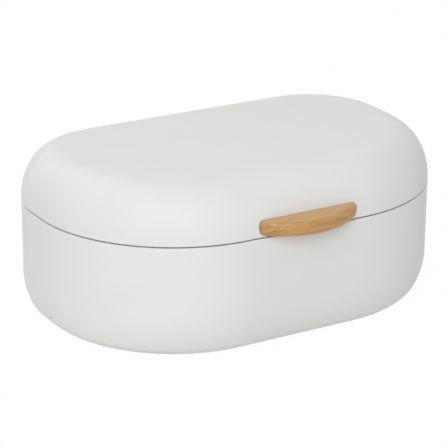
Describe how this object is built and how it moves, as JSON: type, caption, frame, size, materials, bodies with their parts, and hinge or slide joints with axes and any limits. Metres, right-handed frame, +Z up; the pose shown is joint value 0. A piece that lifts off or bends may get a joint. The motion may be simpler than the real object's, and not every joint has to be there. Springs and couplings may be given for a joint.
{
  "type": "bread box",
  "caption": "White pressed-steel bread box with rounded ends, a domed lid hinged at the back on riveted hinges, and a lens-shaped wooden pull handle on the lid.",
  "frame": {"origin": "on the floor, under the middle of the whole footprint with handle and hinges", "axes": "+X to the right seen from the front, the front faces -Y, +Z up"},
  "size_m": [0.36, 0.2623, 0.1475],
  "materials": {
    "painted_shell": "satin white powder coat",
    "handle_wood": "oiled light wood",
    "plated_steel": "zinc plated",
    "silicone": "matte"
  },
  "bodies": {
    "base": {"base_shell": "painted_shell", "base_leaf_left": "plated_steel", "base_leaf_right": "plated_steel", "hinge_pin_left": "plated_steel", "hinge_pin_right": "plated_steel", "base_rivets": "plated_steel", "foot_front_left": "silicone", "foot_front_right": "silicone", "foot_rear_left": "silicone", "foot_rear_right": "silicone", "bumper_front_left": "silicone", "bumper_front_right": "silicone", "bumper_side_left": "silicone", "bumper_side_right": "silicone"},
    "lid": {"lid_shell": "painted_shell", "handle": "handle_wood", "handle_screws": "plated_steel", "handle_washers": "plated_steel", "lid_leaf_left": "plated_steel", "lid_leaf_right": "plated_steel", "lid_rivets": "plated_steel"}
  },
  "joints": [
    {"name": "lid_hinge", "type": "hinge", "parent": "base", "child": "lid", "pos_m": [0, 0.1211, 0.10273], "axis": [-1, 0, 0], "range_deg": [0, 98]}
  ]
}
